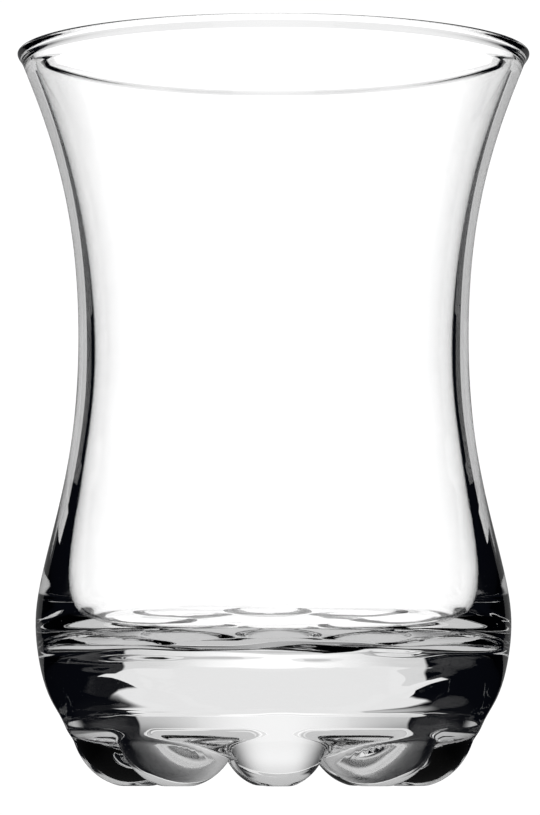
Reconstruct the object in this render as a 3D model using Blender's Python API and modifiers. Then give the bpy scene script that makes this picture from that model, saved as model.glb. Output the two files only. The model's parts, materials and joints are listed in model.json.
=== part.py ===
"""Turkish tea glass, empty: a waisted tumbler of clear glass on a foot of eight round lobes.

Metres, +Z up. The origin is the centre of the base, on the plane that the lobes stand on.
The wall, the thick bottom and the lobes are one piece of pressed glass.
"""
import math

import bmesh
import bpy
import numpy as np

MM = 0.001

# Driving sizes, in millimetres
HEIGHT = 88.95            # standing plane to the top of the lip
RIM_RADIUS = 31.05        # outermost, on the bead of the lip
WAIST_RADIUS = 23.58
WAIST_HEIGHT = 54.5
BELLY_RADIUS = 28.6
BELLY_HEIGHT = 20.0
BODY_EDGE_RADIUS = 24.85  # where the belly ends, above the lobes
BODY_EDGE_HEIGHT = 6.9
FLOOR_HEIGHT = 15.6       # inside, at the axis
RECESS_HEIGHT = 3.3       # underneath, at the axis

# The foot
LOBE_COUNT = 8
LOBE_RING_RADIUS = 16.46  # axis of the glass to the centre of a lobe
LOBE_HEIGHT = 9.0         # widest level of a lobe above the standing plane
LOBE_RADIAL = 8.05        # half sizes of a lobe
LOBE_ACROSS = 6.5
LOBE_BELOW = 9.2          # a little more than its height, so that the lobe is cut flat
LOBE_ABOVE = 4.0          # hidden in the thick bottom
LOBE_PLAN_SQUARENESS = 2.3   # 2 is an ellipse, more is squarer
LOBE_SIDE_SQUARENESS = 2.15
LOBE_TURN = 1.8           # degrees that the front lobe is turned from -Y towards +X

# Outline points as (radius, height), which a smooth curve runs through
LIP = [
    (29.3, HEIGHT - 0.95), (29.62, HEIGHT - 0.3), (30.2, HEIGHT), (30.75, HEIGHT - 0.1),
    (RIM_RADIUS, HEIGHT - 0.45), (30.95, HEIGHT - 0.8), (30.68, HEIGHT - 1.15),
]
OUTER_WALL = [
    (30.42, HEIGHT - 1.7), (28.33, 81.9), (26.36, 75.8), (24.53, 67.3),
    (WAIST_RADIUS, WAIST_HEIGHT), (24.4, 41.3), (26.0, 33.0), (27.75, 25.8),
    (BELLY_RADIUS, BELLY_HEIGHT), (28.26, 15.1), (26.78, 10.35), (BODY_EDGE_RADIUS, BODY_EDGE_HEIGHT),
]
INNER_WALL = [
    (28.72, HEIGHT - 2.45), (27.33, 83.0), (25.1, 76.4), (23.2, 68.5), (21.95, 59.5),
    (21.64, 52.0), (22.15, 44.0), (23.35, 35.0), (24.3, 28.6), (24.85, 21.1),
]
FLOOR_CORNER = [(24.0, 17.23), (22.0, 16.62), (18.5, 16.3)]
FLOOR = [(10.0, 15.8), (0.0, FLOOR_HEIGHT)]
UNDERSIDE = [
    (24.6, 6.3), (23.9, 5.9), (20.8, 4.85), (17.0, 3.9), (10.0, 3.2), (0.0, RECESS_HEIGHT),
]

# Steps of the faceted solid
TURN_STEPS = 64
WALL_SPAN_STEPS = 2       # pieces of the outline between two wall points
LOBE_SEGMENTS = 20
LOBE_RINGS = 12

CUTTER_SIZE = 80.0
MERGE = 0.00001
SMOOTH_ANGLE = math.radians(35.0)


def smooth_curve(points, span_steps):
    """Points along the natural cubic spline that runs through the given outline points."""
    knots = np.array(points, dtype=float)
    count = len(knots)
    gaps = np.linalg.norm(np.diff(knots, axis=0), axis=1)
    system = np.eye(count)
    right = np.zeros((count, 2))
    for i in range(1, count - 1):
        system[i, i - 1:i + 2] = gaps[i - 1], 2.0 * (gaps[i - 1] + gaps[i]), gaps[i]
        slope_after = (knots[i + 1] - knots[i]) / gaps[i]
        slope_before = (knots[i] - knots[i - 1]) / gaps[i - 1]
        right[i] = 6.0 * (slope_after - slope_before)
    bends = np.linalg.solve(system, right)
    curve = []
    for i in range(count - 1):
        for step in range(span_steps):
            b = step / span_steps
            a = 1.0 - b
            bend = (a ** 3 - a) * bends[i] + (b ** 3 - b) * bends[i + 1]
            curve.append(a * knots[i] + b * knots[i + 1] + gaps[i] ** 2 / 6.0 * bend)
    curve.append(knots[-1])
    return [(float(point[0]), float(point[1])) for point in curve]


def glass_outline():
    """Half section of the turned glass, from the floor's centre over the lip to the underside."""
    outer = smooth_curve(OUTER_WALL, WALL_SPAN_STEPS)
    inner = smooth_curve(INNER_WALL, WALL_SPAN_STEPS)
    inside = list(reversed(inner + FLOOR_CORNER + FLOOR))
    return inside + LIP + outer + UNDERSIDE


def clear_scene():
    for old in list(bpy.data.objects):
        bpy.data.objects.remove(old, do_unlink=True)


def new_collection(name):
    collection = bpy.data.collections.new(name)
    bpy.context.scene.collection.children.link(collection)
    return collection


def clear_glass():
    material = bpy.data.materials.new("clear_glass")
    material.use_nodes = True
    shader = material.node_tree.nodes["Principled BSDF"]
    shader.inputs["Base Color"].default_value = (0.96, 0.97, 0.97, 1.0)
    shader.inputs["Roughness"].default_value = 0.02
    shader.inputs["Metallic"].default_value = 0.0
    shader.inputs["IOR"].default_value = 1.52
    shader.inputs["Transmission Weight"].default_value = 1.0
    return material


def turned_glass(collection):
    """The glass without its lobes, turned from its half section by a Screw modifier."""
    mesh = bpy.data.meshes.new("tea_glass")
    points = [(radius * MM, 0.0, height * MM) for radius, height in glass_outline()]
    edges = [(i, i + 1) for i in range(len(points) - 1)]
    mesh.from_pydata(points, edges, [])
    glass = bpy.data.objects.new("tea_glass", mesh)
    collection.objects.link(glass)
    screw = glass.modifiers.new("turn", "SCREW")
    screw.axis = "Z"
    screw.angle = math.tau
    screw.steps = TURN_STEPS
    screw.render_steps = TURN_STEPS
    screw.use_merge_vertices = True
    screw.merge_threshold = MERGE
    screw.use_smooth_shade = True
    return glass


def lobe_point(direction):
    """The point of the squarish lobe that lies in the given direction from its centre, in metres."""
    x, y, z = direction
    plan = abs(x) ** LOBE_PLAN_SQUARENESS + abs(y) ** LOBE_PLAN_SQUARENESS
    side = plan ** (LOBE_SIDE_SQUARENESS / LOBE_PLAN_SQUARENESS) + abs(z) ** LOBE_SIDE_SQUARENESS
    reach = MM / side ** (1.0 / LOBE_SIDE_SQUARENESS)
    half_height = LOBE_ABOVE if z > 0.0 else LOBE_BELOW
    return x * reach * LOBE_RADIAL, y * reach * LOBE_ACROSS, z * reach * half_height


def foot_lobe(index, collection):
    """One rounded lobe of the foot, longest towards the axis of the glass."""
    angle = math.radians(LOBE_TURN - 90.0) + index * math.tau / LOBE_COUNT
    ball = bmesh.new()
    bmesh.ops.create_uvsphere(ball, u_segments=LOBE_SEGMENTS, v_segments=LOBE_RINGS, radius=1.0)
    for corner in ball.verts:
        corner.co = lobe_point(corner.co)
    mesh = bpy.data.meshes.new(f"lobe_{index + 1}")
    ball.to_mesh(mesh)
    ball.free()
    lobe = bpy.data.objects.new(mesh.name, mesh)
    collection.objects.link(lobe)
    ring = LOBE_RING_RADIUS * MM
    lobe.location = (ring * math.cos(angle), ring * math.sin(angle), LOBE_HEIGHT * MM)
    lobe.rotation_euler = (0.0, 0.0, angle)
    return lobe


def standing_cutter(collection):
    """A block below the standing plane, which cuts a small flat under each lobe."""
    block = bmesh.new()
    bmesh.ops.create_cube(block, size=CUTTER_SIZE * MM)
    mesh = bpy.data.meshes.new("standing_cutter")
    block.to_mesh(mesh)
    block.free()
    cutter = bpy.data.objects.new("standing_cutter", mesh)
    cutter.location = (0.0, 0.0, -CUTTER_SIZE * MM / 2.0)
    cutter.hide_render = True
    cutter.display_type = "WIRE"
    collection.objects.link(cutter)
    return cutter


def apply_modifiers(owner):
    """Replace an object's mesh by the one that its modifiers give, and drop them."""
    bpy.context.view_layer.update()
    graph = bpy.context.evaluated_depsgraph_get()
    mesh = bpy.data.meshes.new_from_object(owner.evaluated_get(graph))
    owner.modifiers.clear()
    owner.data = mesh


def fuse_lobes(glass, lobes):
    """Join every lobe of the foot to the glass by one union, then remove the loose lobes."""
    union = glass.modifiers.new("join_lobes", "BOOLEAN")
    union.operation = "UNION"
    union.solver = "EXACT"
    union.operand_type = "COLLECTION"
    union.collection = lobes
    apply_modifiers(glass)
    for lobe in list(lobes.objects):
        bpy.data.objects.remove(lobe, do_unlink=True)
    bpy.data.collections.remove(lobes)


def cut_flats(glass, cutter):
    cut = glass.modifiers.new("standing_flats", "BOOLEAN")
    cut.operation = "DIFFERENCE"
    cut.solver = "EXACT"
    cut.object = cutter


def main():
    clear_scene()
    parts = new_collection("turkish_tea_glass")
    cutters = new_collection("cutters")
    lobes = new_collection("lobes")

    glass = turned_glass(parts)
    for index in range(LOBE_COUNT):
        foot_lobe(index, lobes)
    fuse_lobes(glass, lobes)
    glass.data.materials.clear()
    glass.data.materials.append(clear_glass())
    glass.data.shade_smooth()
    glass.data.set_sharp_from_angle(angle=SMOOTH_ANGLE)
    cut_flats(glass, standing_cutter(cutters))


main()
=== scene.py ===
import json
import math
import bpy
import numpy as np
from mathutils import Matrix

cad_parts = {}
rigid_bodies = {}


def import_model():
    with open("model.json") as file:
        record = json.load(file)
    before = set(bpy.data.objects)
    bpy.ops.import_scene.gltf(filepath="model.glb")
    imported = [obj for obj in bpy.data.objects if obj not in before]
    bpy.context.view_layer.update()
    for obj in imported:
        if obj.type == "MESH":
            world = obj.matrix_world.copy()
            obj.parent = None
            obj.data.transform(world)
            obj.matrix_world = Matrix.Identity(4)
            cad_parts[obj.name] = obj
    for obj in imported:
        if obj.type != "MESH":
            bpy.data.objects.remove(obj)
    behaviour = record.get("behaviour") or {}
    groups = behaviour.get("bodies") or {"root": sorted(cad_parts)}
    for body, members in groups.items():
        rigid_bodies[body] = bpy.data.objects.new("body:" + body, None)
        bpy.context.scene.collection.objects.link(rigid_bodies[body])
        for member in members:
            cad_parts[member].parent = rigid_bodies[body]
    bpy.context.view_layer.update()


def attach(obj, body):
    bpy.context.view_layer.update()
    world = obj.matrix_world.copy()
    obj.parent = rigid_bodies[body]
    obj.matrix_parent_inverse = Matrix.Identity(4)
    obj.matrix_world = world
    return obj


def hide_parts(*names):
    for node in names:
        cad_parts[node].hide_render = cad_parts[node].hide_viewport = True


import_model()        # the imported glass, in metres, standing on z = 0
mm = 0.001
mergeGap = mm * 0.001

# the whole glass, millimetres: outline points are (radius, height) and a smooth curve runs through them
glassShape = {
    "lip": [(29.3, 88.0), (29.5, 88.68), (29.95, 88.92), (30.6, 88.86), (31.03, 88.5), (30.9, 88.0),
            (30.62, 87.6)],
    "outerWall": [(30.42, 87.25), (28.33, 81.9), (26.36, 75.8), (24.53, 67.3), (23.58, 54.5), (24.4, 41.3),
                  (26.0, 33.0), (27.75, 25.8), (28.6, 20.3), (28.2, 15.1), (26.75, 10.35), (25.2, 7.6)],
    "innerWall": [(28.72, 86.5), (27.33, 83.0), (25.1, 76.4), (23.2, 68.5), (21.95, 59.5), (21.64, 52.0),
                  (22.15, 44.0), (23.35, 35.0), (24.3, 28.6), (24.75, 23.4)],
    "floor": [(24.55, 20.9), (23.6, 18.5), (21.6, 17.15), (18.5, 16.45), (13.0, 16.02),
              (8.0, 15.8), (3.0, 15.66), (0.0, 15.64), (-3.0, 15.66)],
    "underside": [(24.75, 6.75), (24.2, 6.1), (20.8, 4.95), (17.0, 4.0), (10.0, 3.32), (5.0, 3.22),
                  (0.0, 3.2), (-5.0, 3.22)],
    "floorRuffle": 0.12,     # unevenness of the pressed inside floor
    "ruffleRing": (6.0, 13.0, 24.0),   # radius where it starts, is full, and ends
    "ruffleFade": 3.0,
    "ruffleHeights": (12.0, 20.0),
    # share, waves in a turn, turn with each millimetre of radius, and start
    "ruffleWaves": [(0.5, 5.0, 0.45, 0.0), (0.22, 8.0, -0.7, 1.3), (0.4, 3.0, 0.9, 0.6)],
    "crossWave": (0.25, 0.8, 0.4),     # from left to right: share, turn with each millimetre, start
    "rowLength": 0.9,        # of the wall's faces
    "lipRowLength": 0.16,
    "curveStep": 0.05,       # of the outside's curve before it is cut into rows
    "turnSteps": 288,
}

# the foot's lobes, millimetres
footShape = {
    "lobes": 8,
    "turn": 1.8,             # degrees, front lobe from -Y towards +X
    "ring": 16.46,
    "centreHeight": 9.0,     # up inside the belly, where the lobes are widest
    "radial": 8.05,
    "across": 6.5,
    "vertical": 9.2,
    "planSquareness": 2.3,   # 2 is an ellipse, more is squarer
    "sideSquareness": 2.15,
    "pivot": (15.6, 8.6),    # every row of the foot is seen from this ring, inside the glass
    "rows": 96,
    "topAngle": 12.0,        # degrees above level, where the foot's rows meet the belly's
    "topReach": 6.0,         # and how far above the pivot that may be
    "lobeTop": 11.5,         # height that the lobes push the glass out up to
    "seamRound": 0.3,        # rounding between a lobe and the glass
    "crownRound": 1.3,       # and where the lobe runs out into the belly
    "crownTurn": (7.0, 13.0),          # degrees from the lobe's middle, where that is full, and ends
    "crownFade": 1.5,
    "flatRound": 0.12,
    "longestReach": 30.0,
    "searchSteps": 40,
    "axisGap": 0.0001,
}


def deselectAll():
    for item in bpy.context.view_layer.objects:
        item.select_set(False)


def smoothCurve(points, step):
    # natural cubic spline through the points, sampled about every step millimetres
    knots = np.array(points, dtype=float)
    gaps = np.linalg.norm(np.diff(knots, axis=0), axis=1)
    count = len(knots)
    system = np.eye(count)
    right = np.zeros((count, 2))
    for i in range(1, count - 1):
        system[i, i - 1:i + 2] = gaps[i - 1], 2.0 * (gaps[i - 1] + gaps[i]), gaps[i]
        right[i] = 6.0 * ((knots[i + 1] - knots[i]) / gaps[i] - (knots[i] - knots[i - 1]) / gaps[i - 1])
    bends = np.linalg.solve(system, right)
    curve = []
    for i in range(count - 1):
        pieces = max(1, int(math.ceil(gaps[i] / step)))
        for b in np.arange(pieces) / pieces:
            a = 1.0 - b
            bend = (a ** 3 - a) * bends[i] + (b ** 3 - b) * bends[i + 1]
            curve.append(a * knots[i] + b * knots[i + 1] + gaps[i] ** 2 / 6.0 * bend)
    curve.append(knots[-1])
    return np.array(curve)


def wholeOutline():
    # from the middle of the floor, up the inside, over the lip, down the outside, to the middle underneath
    shape, foot = glassShape, footShape
    inside = smoothCurve(shape["floor"][::-1] + shape["innerWall"][::-1], shape["rowLength"])
    inside = inside[inside[:, 0] > foot["axisGap"]]
    inside = np.vstack([shape["floor"][-2], inside])
    joined = [shape["innerWall"][0]] + shape["lip"] + [shape["outerWall"][0]]
    # the lip takes its direction from the walls on both sides
    lipRun = smoothCurve([shape["innerWall"][1]] + joined + [shape["outerWall"][1]], shape["lipRowLength"])
    start = np.argmin(np.hypot(*(lipRun - shape["innerWall"][0]).T))
    stop = np.argmin(np.hypot(*(lipRun - shape["outerWall"][0]).T))
    lipRun = lipRun[start + 1:stop]
    outside = smoothCurve(shape["outerWall"] + shape["underside"], shape["curveStep"])
    pivot = np.array(foot["pivot"])
    angles = np.degrees(np.arctan2(outside[:, 1] - pivot[1], outside[:, 0] - pivot[0]))
    low = outside[:, 1] < pivot[1] + foot["topReach"]
    belowTop = np.nonzero(low & (angles < foot["topAngle"]))[0][0]
    wall = outside[:belowTop]
    # the wall's rows are evenly spaced
    length = np.concatenate([[0.0], np.cumsum(np.linalg.norm(np.diff(wall, axis=0), axis=1))])
    rows = int(round(length[-1] / shape["rowLength"]))
    at = np.linspace(0.0, length[-1], rows + 1)
    wall = np.stack([np.interp(at, length, wall[:, 0]), np.interp(at, length, wall[:, 1])], axis=1)
    under = outside[belowTop:]
    under = under[under[:, 0] >= 0.0]
    underAngles = np.degrees(np.arctan2(under[:, 1] - pivot[1], under[:, 0] - pivot[0]))
    underReach = np.hypot(under[:, 0] - pivot[0], under[:, 1] - pivot[1])
    axisAngle = math.degrees(math.atan2(shape["underside"][-2][1] - pivot[1], -pivot[0]))
    rowAngles = np.linspace(foot["topAngle"], axisAngle, foot["rows"])[1:-1]
    reach = np.interp(-rowAngles, -underAngles, underReach)
    turned = np.radians(rowAngles)
    footRows = np.stack([pivot[0] + reach * np.cos(turned), pivot[1] + reach * np.sin(turned)], axis=1)
    bottom = [shape["underside"][-2]]
    return np.vstack([inside, lipRun, wall, footRows, bottom])


def extrudeOutline(points, name):
    # a plane merged to one point, then pulled along the outline
    deselectAll()
    bpy.ops.mesh.primitive_plane_add(size=mm, location=(0.0, 0.0, 0.0))
    outline = bpy.context.object
    outline.name = name
    outline.data.name = name
    bpy.ops.object.mode_set(mode="EDIT")
    bpy.ops.mesh.select_all(action="SELECT")
    bpy.ops.mesh.merge(type="CENTER")
    bpy.ops.mesh.select_all(action="SELECT")
    here = np.zeros(2)
    for radius, height in points:
        move = np.array([radius, height]) - here
        value = (move[0] * mm, 0.0, move[1] * mm)
        if here.any():
            bpy.ops.mesh.extrude_region_move(TRANSFORM_OT_translate={"value": value})
        else:
            bpy.ops.transform.translate(value=value)
        here = np.array([radius, height])
    bpy.ops.object.mode_set(mode="OBJECT")
    return outline


def turnOutline(outline, steps):
    turn = outline.modifiers.new("turn", "SCREW")
    turn.axis = "Z"
    turn.angle = math.tau
    turn.steps = steps
    turn.render_steps = steps
    turn.use_merge_vertices = True
    turn.merge_threshold = mergeGap
    bpy.ops.object.modifier_apply(modifier="turn")
    bpy.ops.object.mode_set(mode="EDIT")
    bpy.ops.mesh.select_all(action="SELECT")
    bpy.ops.mesh.remove_doubles(threshold=mergeGap)
    bpy.ops.mesh.normals_make_consistent(inside=False)
    bpy.ops.object.mode_set(mode="OBJECT")


def softMax(a, b, rounding):
    mix = np.clip(0.5 + 0.5 * (a - b) / rounding, 0.0, 1.0)
    return b + (a - b) * mix + rounding * mix * (1.0 - mix)


def lobeFill(reach, angle, turn):
    # under 1 inside a lobe, 1 on its skin, for points at that reach from the pivot ring
    foot = footShape
    radius = foot["pivot"][0] + reach * np.cos(angle)
    along = np.abs(radius * np.cos(turn) - foot["ring"]) / foot["radial"]
    across = np.abs(radius * np.sin(turn)) / foot["across"]
    up = (foot["pivot"][1] + reach * np.sin(angle) - foot["centreHeight"]) / foot["vertical"]
    plan, side = foot["planSquareness"], foot["sideSquareness"]
    return (along ** plan + across ** plan) ** (side / plan) + np.abs(up) ** side


def lobeReach(angle, turn):
    # how far one lobe reaches from the pivot at that angle up, in a half plane turned from its middle
    low = np.zeros_like(turn)
    high = np.full_like(turn, footShape["longestReach"])
    for _ in range(footShape["searchSteps"]):
        third = (high - low) / 3.0
        left = lobeFill(low + third, angle, turn) < lobeFill(high - third, angle, turn)
        high = np.where(left, high - third, high)
        low = np.where(left, low, low + third)
    deepest = (low + high) / 2.0
    hit = lobeFill(deepest, angle, turn) < 1.0
    low = deepest
    high = np.full_like(turn, footShape["longestReach"])
    for _ in range(footShape["searchSteps"]):
        middle = (low + high) / 2.0
        inside = lobeFill(middle, angle, turn) < 1.0
        low = np.where(inside, middle, low)
        high = np.where(inside, high, middle)
    return np.where(hit, low, 0.0)


def swellLobes(glass):
    # pushes the foot's rows outwards until they lie on the lobes
    foot = footShape
    count = len(glass.data.vertices)
    places = np.empty(count * 3)
    glass.data.vertices.foreach_get("co", places)
    places = places.reshape(-1, 3) / mm
    radius = np.hypot(places[:, 0], places[:, 1])
    azimuth = np.arctan2(places[:, 1], places[:, 0])
    pivotRadius, pivotHeight = foot["pivot"]
    low = (places[:, 2] < foot["lobeTop"]) & (radius > foot["axisGap"])
    offset = np.stack([radius[low] - pivotRadius, places[low, 2] - pivotHeight])
    reach = np.hypot(*offset)
    angle = np.arctan2(offset[1], offset[0])
    pitch = math.tau / foot["lobes"]
    turn = azimuth[low] - math.radians(foot["turn"] - 90.0)
    turn = (turn + pitch / 2.0) % pitch - pitch / 2.0
    near = lobeReach(angle, turn)
    beside = lobeReach(angle, turn - np.sign(turn) * pitch)
    lobes = softMax(near, beside, foot["seamRound"])
    crownFull, crownEnd = foot["crownTurn"]
    crown = np.clip((crownEnd - np.degrees(np.abs(turn))) / (crownEnd - crownFull), 0.0, 1.0)
    crown *= np.clip(1.0 + np.sin(angle) * foot["crownFade"], 0.0, 1.0)
    rounding = foot["seamRound"] + (foot["crownRound"] - foot["seamRound"]) * crown
    swollen = softMax(reach, lobes, rounding)
    newRadius = pivotRadius + swollen * np.cos(angle)
    newHeight = pivotHeight + swollen * np.sin(angle)
    newHeight = np.maximum(softMax(newHeight, np.zeros_like(newHeight), foot["flatRound"]), 0.0)
    places[low, 0] = newRadius * np.cos(azimuth[low])
    places[low, 1] = newRadius * np.sin(azimuth[low])
    places[low, 2] = newHeight
    glass.data.vertices.foreach_set("co", (places * mm).ravel())
    glass.data.update()


def ruffleFloor(glass):
    # slight waves where the plunger pressed the inside floor
    shape = glassShape
    places = np.empty(len(glass.data.vertices) * 3)
    glass.data.vertices.foreach_get("co", places)
    places = places.reshape(-1, 3) / mm
    radius = np.hypot(places[:, 0], places[:, 1])
    azimuth = np.arctan2(places[:, 1], places[:, 0])
    start, full, end = shape["ruffleRing"]
    low, high = shape["ruffleHeights"]
    inside = (places[:, 2] > low) & (places[:, 2] < high) & (radius < end)
    share = np.clip((radius - start) / (full - start), 0.0, 1.0)
    share *= np.clip((end - radius) / shape["ruffleFade"], 0.0, 1.0)
    size, along, begin = shape["crossWave"]
    wave = size * np.sin(along * places[:, 0] + begin)
    for size, around, outward, begin in shape["ruffleWaves"]:
        wave += size * np.sin(around * azimuth + outward * radius + begin)
    places[inside, 2] += (shape["floorRuffle"] * share * wave)[inside]
    glass.data.vertices.foreach_set("co", (places * mm).ravel())
    glass.data.update()


def makeGlass():
    glass = extrudeOutline(wholeOutline(), "clearTeaGlass")
    turnOutline(glass, glassShape["turnSteps"])
    swellLobes(glass)
    ruffleFloor(glass)
    bpy.ops.object.shade_smooth()
    return glass


# clear pressed glass: what the mould and the handling leave on it
glassLook = {
    "tint": (1.0, 1.0, 1.0, 1.0),
    "ior": 1.52,
    "wavePitch": 9.0,        # millimetres between the slow waves of the surface
    "waveHeight": 0.004,     # millimetres
    "waveDetail": 1.0,
    "chillPitch": 5.0,       # the finer unevenness where the foot met the mould
    "chillHeight": 0.0006,
    "chillDetail": 0.0,
    "chillTop": 9.0,         # height that the chill marks reach up to
    "chillFade": 0.5,        # share of that height where they are full
    "smudgePitch": 14.0,
    "smudgeDetail": 3.0,
    "smudgeEdge": (0.5, 0.72),
    "smudgeRoughness": 0.02,
}


def mathNode(tree, operation, first, second=None):
    node = tree.nodes.new("ShaderNodeMath")
    node.operation = operation
    for place, value in enumerate((first, second)):
        if value is None:
            continue
        if isinstance(value, (int, float)):
            node.inputs[place].default_value = value
        else:
            tree.links.new(value, node.inputs[place])
    return node.outputs[0]


def rampNode(tree, value, start, end, low=0.0, high=1.0):
    # smooth step from low at start to high at end
    node = tree.nodes.new("ShaderNodeMapRange")
    node.interpolation_type = "SMOOTHSTEP"
    for name, setting in (("From Min", start), ("From Max", end), ("To Min", low), ("To Max", high)):
        node.inputs[name].default_value = setting
    tree.links.new(value, node.inputs["Value"])
    return node.outputs["Result"]


def newGroup(name, inputs, outputs):
    group = bpy.data.node_groups.new(name, "ShaderNodeTree")
    for label, default in inputs:
        socket = group.interface.new_socket(label, in_out="INPUT", socket_type="NodeSocketFloat")
        socket.default_value = default
    for label in outputs:
        group.interface.new_socket(label, in_out="OUTPUT", socket_type="NodeSocketFloat")
    return group, group.nodes.new("NodeGroupInput"), group.nodes.new("NodeGroupOutput")


def noiseNode(tree, place, pitch, detail):
    # noise from 0 to 1, its pitch in millimetres
    noise = tree.nodes.new("ShaderNodeTexNoise")
    tree.links.new(place, noise.inputs["Vector"])
    tree.links.new(mathNode(tree, "DIVIDE", 1.0 / mm, pitch), noise.inputs["Scale"])
    noise.inputs["Detail"].default_value = detail
    return noise.outputs[0]


def pressedWaveGroup():
    # slow waves over all the glass, and finer chill marks on the foot, as heights in metres
    look = glassLook
    inputs = [("Wave Pitch", look["wavePitch"]), ("Wave Height", look["waveHeight"]),
              ("Chill Pitch", look["chillPitch"]), ("Chill Height", look["chillHeight"]),
              ("Chill Top", look["chillTop"])]
    group, into, out = newGroup("pressedWave", inputs, ["Height"])
    place = group.nodes.new("ShaderNodeTexCoord").outputs["Object"]
    heights = []
    for kind, detail in (("Wave", look["waveDetail"]), ("Chill", look["chillDetail"])):
        noise = noiseNode(group, place, into.outputs[kind + " Pitch"], detail)
        centred = mathNode(group, "SUBTRACT", noise, 0.5)
        heights.append(mathNode(group, "MULTIPLY", centred, into.outputs[kind + " Height"]))
    split = group.nodes.new("ShaderNodeSeparateXYZ")
    group.links.new(place, split.inputs[0])
    top = mathNode(group, "MULTIPLY", into.outputs["Chill Top"], mm)
    up = mathNode(group, "DIVIDE", split.outputs["Z"], top)
    chill = mathNode(group, "MULTIPLY", heights[1], rampNode(group, up, 1.0, look["chillFade"]))
    total = mathNode(group, "ADD", heights[0], chill)
    group.links.new(mathNode(group, "MULTIPLY", total, mm), out.inputs["Height"])
    return group


def smudgeGroup():
    # faint uneven patches, 0 clean and 1 smudged
    look = glassLook
    group, into, out = newGroup("faintSmudge", [("Pitch", look["smudgePitch"])], ["Mask"])
    place = group.nodes.new("ShaderNodeTexCoord").outputs["Object"]
    noise = noiseNode(group, place, into.outputs["Pitch"], look["smudgeDetail"])
    group.links.new(rampNode(group, noise, *look["smudgeEdge"]), out.inputs["Mask"])
    return group


def glassMaterial():
    look = glassLook
    material = bpy.data.materials.new("clearGlass")
    material.use_nodes = True
    tree = material.node_tree
    shader = tree.nodes["Principled BSDF"]
    shader.inputs["Base Color"].default_value = look["tint"]
    shader.inputs["IOR"].default_value = look["ior"]
    shader.inputs["Metallic"].default_value = 0.0
    shader.inputs["Transmission Weight"].default_value = 1.0
    wave = tree.nodes.new("ShaderNodeGroup")
    wave.node_tree = pressedWaveGroup()
    for label, key in (("Wave Pitch", "wavePitch"), ("Wave Height", "waveHeight"),
                       ("Chill Pitch", "chillPitch"), ("Chill Height", "chillHeight"),
                       ("Chill Top", "chillTop")):
        wave.inputs[label].default_value = look[key]
    bump = tree.nodes.new("ShaderNodeBump")
    bump.inputs["Strength"].default_value = 1.0
    bump.inputs["Distance"].default_value = 1.0
    tree.links.new(wave.outputs["Height"], bump.inputs["Height"])
    tree.links.new(bump.outputs["Normal"], shader.inputs["Normal"])
    smudge = tree.nodes.new("ShaderNodeGroup")
    smudge.node_tree = smudgeGroup()
    smudge.inputs["Pitch"].default_value = look["smudgePitch"]
    rough = mathNode(tree, "MULTIPLY", smudge.outputs["Mask"], look["smudgeRoughness"])
    tree.links.new(rough, shader.inputs["Roughness"])
    return material


# the floor and the light: angles in degrees, turned from the Y axis or up from level, and lengths in metres
studio = {
    "floorSize": 6.0,
    "cameraWhite": 1.05,
    "throughWhite": 1.35,    # for light that comes straight through both walls
    "throughHigh": 1.0,      # the same, seen high up through the far lip
    "throughUp": (12.0, 18.0),
    "bothWalls": 3.5,        # such light crosses four surfaces
    "oneWall": 1.5,          # or two, where it comes through one wall
    "noMirror": 0.5,         # and none mirrors it
    "singleUp": (12.0, 14.0),    # one wall counts up to here
    "diagonal": 45.0,
    "flagStart": (29.5, 30.5),   # dark flags that edge the glass, each side of every axis
    "flagEnd": (42.0, 43.0),
    "flagTop": (9.5, 12.0),
    "dark": (0.002, 0.0024, 0.004),
    "flagDark": 0.004,
    "panelEdge": (27.5, 28.5),   # the white panels ahead and behind end sharply here
    "panelSoft": (6.0, 28.0),    # but softly higher up
    "panelSoftUp": (19.0, 27.0),
    "panelMiddle": (2.0, 24.0),  # and they are brightest in the middle
    "panelAside": 0.7,
    "panelBright": (9.5, 14.0),  # brightest behind the mouth
    "panelHigh": 0.86,
    "panelUp": (26.0, 38.0),
    "panelDim": 0.45,
    "panelLight": 1.1,
    "mirrored": 0.15,        # share of the light that the outside of the glass mirrors
    "sideStart": 52.0,       # the dim panels at both sides
    "sideFull": 62.0,
    "sideUp": (8.0, 14.0, 45.0, 60.0),   # where they start, are full, start to end, and end
    "sideLight": 0.65,
    "aboveUp": (50.0, 62.0),     # a weak light from above
    "aboveLight": 0.35,
    # painted light glowing on the floor, ahead and behind: half its turn near the glass, further off, and
    # beyond
    "glowPatchTurn": (19.5, 31.5, 28.0),
    "glowPatchReach": (0.27, 0.31, 1.2, 1.6),
    "glowPatchStart": (0.1, 0.13),
    "stripWidth": (0.016, 0.03),  # half width of the brighter strip of painted glow towards the glass
    "stripLight": 0.6,
    "glowPatchLight": 0.85,
    "underEnd": (0.034, 0.042),  # the floor's painted glow right under the glass
    "underLight": 0.12,
}


def turnFromAxis(tree, vector):
    split = tree.nodes.new("ShaderNodeSeparateXYZ")
    tree.links.new(vector, split.inputs[0])
    turn = mathNode(tree, "ARCTAN2", mathNode(tree, "ABSOLUTE", split.outputs["X"]),
                    mathNode(tree, "ABSOLUTE", split.outputs["Y"]))
    return split, mathNode(tree, "DEGREES", turn)


def pathNodes(tree, low):
    # what the camera sees directly, what comes straight through both walls or, where low is 1, through one,
    # and what the outside mirrors: each is 0 or 1
    path = tree.nodes.new("ShaderNodeLightPath")
    depth = path.outputs["Transmission Depth"]
    walls = blendNode(tree, low, studio["bothWalls"], studio["oneWall"])
    crossed = mathNode(tree, "GREATER_THAN", depth, walls)
    unturned = mathNode(tree, "LESS_THAN", path.outputs["Glossy Depth"], studio["noMirror"])
    outside = mathNode(tree, "LESS_THAN", depth, studio["noMirror"])
    return path.outputs["Is Camera Ray"], mathNode(tree, "MULTIPLY", crossed, unturned), outside


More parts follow.
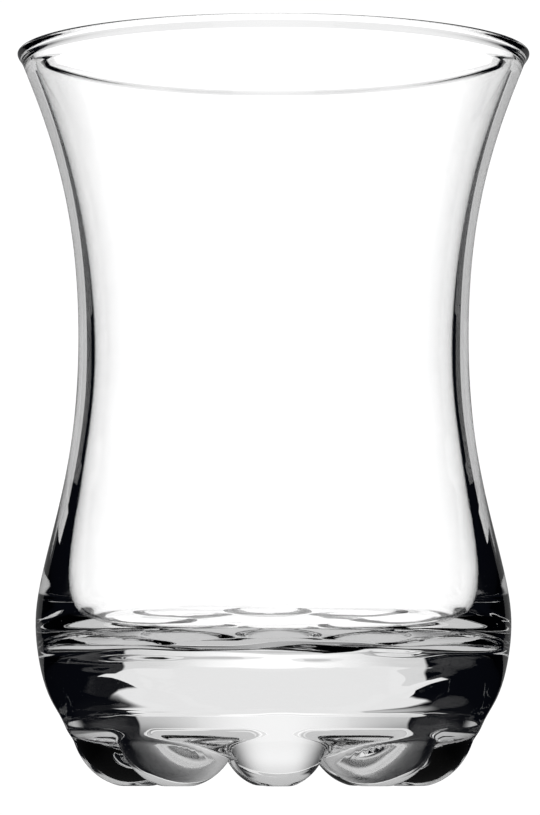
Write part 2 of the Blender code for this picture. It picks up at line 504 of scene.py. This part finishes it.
def blendNode(tree, share, first, second):
    node = tree.nodes.new("ShaderNodeMix")
    node.data_type = "FLOAT"
    for place, value in ((0, share), (2, first), (3, second)):
        if isinstance(value, (int, float)):
            node.inputs[place].default_value = value
        else:
            tree.links.new(value, node.inputs[place])
    return node.outputs[0]


def chooseLight(tree, strength, straight, low):
    # studio light by path: white to the camera, the straight light through the walls, else the strength
    seen, through, outside = pathNodes(tree, low)
    dimmed = mathNode(tree, "MULTIPLY", outside, 1.0 - studio["mirrored"])
    strength = mathNode(tree, "MULTIPLY", strength, mathNode(tree, "SUBTRACT", 1.0, dimmed))
    return blendNode(tree, seen, blendNode(tree, through, strength, straight), studio["cameraWhite"])


def darkTint(tree, strength):
    # the darkest light is faintly blue
    tint = tree.nodes.new("ShaderNodeMix")
    tint.data_type = "RGBA"
    tint.blend_type = "ADD"
    tint.inputs[0].default_value = 1.0
    tree.links.new(strength, tint.inputs[6])
    tint.inputs[7].default_value = (*studio["dark"], 1.0)
    return tint.outputs[2]


def makeFloor():
    deselectAll()
    bpy.ops.mesh.primitive_plane_add(size=studio["floorSize"], location=(0.0, 0.0, 0.0))
    floor = bpy.context.object
    floor.name = "studioFloor"
    material = bpy.data.materials.new("paleFloor")
    material.use_nodes = True
    tree = material.node_tree
    tree.nodes.clear()
    place = tree.nodes.new("ShaderNodeTexCoord").outputs["Object"]
    split, turn = turnFromAxis(tree, place)
    reach = tree.nodes.new("ShaderNodeVectorMath")
    reach.operation = "LENGTH"
    tree.links.new(place, reach.inputs[0])
    reach = reach.outputs["Value"]
    # painted light: seen through or off the glass, the floor glows in patches ahead and behind, in a strip
    # towards the glass and faintly under it, while the camera sees it evenly white
    near, far, beyond = studio["glowPatchTurn"]
    steps = studio["glowPatchReach"]
    edge = blendNode(tree, rampNode(tree, reach, steps[0], steps[1]), near, far)
    edge = blendNode(tree, rampNode(tree, reach, steps[2], steps[3]), edge, beyond)
    glowPatch = rampNode(tree, mathNode(tree, "SUBTRACT", turn, edge), 1.0, 0.0)
    glowPatch = mathNode(tree, "MULTIPLY", glowPatch, rampNode(tree, reach, *studio["glowPatchStart"]))
    glowPatch = mathNode(tree, "MULTIPLY", glowPatch, studio["glowPatchLight"])
    sideways = mathNode(tree, "ABSOLUTE", split.outputs["X"])
    start, end = studio["stripWidth"]
    strip = rampNode(tree, sideways, end, start, 0.0, studio["stripLight"])
    glowPatch = mathNode(tree, "MAXIMUM", glowPatch, strip)
    start, end = studio["underEnd"]
    under = rampNode(tree, reach, end, start, 0.0, studio["underLight"])
    glowPatch = mathNode(tree, "MAXIMUM", glowPatch, under)
    glow = tree.nodes.new("ShaderNodeEmission")
    light = chooseLight(tree, glowPatch, studio["throughWhite"], 1.0)
    tree.links.new(darkTint(tree, light), glow.inputs["Color"])
    glow.inputs["Strength"].default_value = 1.0
    out = tree.nodes.new("ShaderNodeOutputMaterial")
    tree.links.new(glow.outputs[0], out.inputs["Surface"])
    material.cycles.emission_sampling = "NONE"
    floor.data.materials.append(material)


def makeWorld():
    world = bpy.data.worlds.new("softStudio")
    bpy.context.scene.world = world
    world.use_nodes = True
    tree = world.node_tree
    tree.nodes.clear()
    place = tree.nodes.new("ShaderNodeTexCoord").outputs["Generated"]
    split, turn = turnFromAxis(tree, place)
    up = mathNode(tree, "DEGREES", mathNode(tree, "ARCSINE", split.outputs["Z"]))
    sharp = rampNode(tree, turn, studio["panelEdge"][1], studio["panelEdge"][0])
    soft = rampNode(tree, turn, studio["panelSoft"][1], studio["panelSoft"][0])
    panel = blendNode(tree, rampNode(tree, up, *studio["panelSoftUp"]), sharp, soft)
    shares = [(up, *studio["panelUp"], 1.0, studio["panelDim"]),
              (up, *studio["panelBright"], 1.0, studio["panelHigh"]),
              (turn, *studio["panelMiddle"], studio["panelLight"], studio["panelAside"])]
    for share in shares:
        panel = mathNode(tree, "MULTIPLY", panel, rampNode(tree, *share))
    sideUp = studio["sideUp"]
    height = mathNode(tree, "MULTIPLY", rampNode(tree, up, sideUp[0], sideUp[1]),
                      rampNode(tree, up, sideUp[3], sideUp[2], 0.0, studio["sideLight"]))
    side = mathNode(tree, "MULTIPLY", rampNode(tree, turn, studio["sideStart"], studio["sideFull"]), height)
    strength = mathNode(tree, "MAXIMUM", panel, side)
    above = rampNode(tree, up, *studio["aboveUp"], 0.0, studio["aboveLight"])
    strength = mathNode(tree, "MAXIMUM", strength, above)
    # angle from the nearest of the four axes
    fromDiagonal = mathNode(tree, "ABSOLUTE", mathNode(tree, "SUBTRACT", turn, studio["diagonal"]))
    near = mathNode(tree, "SUBTRACT", studio["diagonal"], fromDiagonal)
    flag = mathNode(tree, "MULTIPLY", rampNode(tree, near, *studio["flagStart"]),
                    rampNode(tree, near, studio["flagEnd"][1], studio["flagEnd"][0]))
    flag = mathNode(tree, "MULTIPLY", flag, rampNode(tree, up, studio["flagTop"][1], studio["flagTop"][0]))
    white = rampNode(tree, up, *studio["throughUp"], studio["throughWhite"], studio["throughHigh"])
    straight = mathNode(tree, "MULTIPLY", mathNode(tree, "SUBTRACT", 1.0, flag), white)
    straight = mathNode(tree, "ADD", straight, studio["flagDark"])
    light = tree.nodes.new("ShaderNodeBackground")
    low = rampNode(tree, up, studio["singleUp"][1], studio["singleUp"][0])
    tree.links.new(darkTint(tree, chooseLight(tree, strength, straight, low)), light.inputs["Color"])
    light.inputs["Strength"].default_value = 1.0
    out = tree.nodes.new("ShaderNodeOutputWorld")
    tree.links.new(light.outputs[0], out.inputs["Surface"])


# where the photograph was taken from, metres
viewpoint = {
    "distance": 0.592,
    "height": 0.0015,
    "aside": -0.00042,
    "pitch": 4.2584,         # degrees up
    "focalPixels": 4915.0,
    "imageHeight": 815,
    "sensorWidth": 36.0,     # millimetres
    "nearClip": 0.01,
}


def makeCamera():
    data = bpy.data.cameras.new("camera")
    camera = bpy.data.objects.new("camera", data)
    bpy.context.scene.collection.objects.link(camera)
    data.sensor_width = viewpoint["sensorWidth"]
    data.lens = viewpoint["focalPixels"] / viewpoint["imageHeight"] * data.sensor_width
    data.clip_start = viewpoint["nearClip"]
    camera.location = (viewpoint["aside"], -viewpoint["distance"], viewpoint["height"])
    camera.rotation_euler = (math.radians(90.0 + viewpoint["pitch"]), 0.0, 0.0)
    bpy.context.scene.camera = camera


print("modelling the glass")
glass = makeGlass()
glass.data.materials.append(glassMaterial())
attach(glass, "root")
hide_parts("tea_glass")
print("glass faces", len(glass.data.polygons))

print("setting up the studio")
makeFloor()
makeWorld()
makeCamera()
bpy.context.scene.view_settings.view_transform = "Standard"
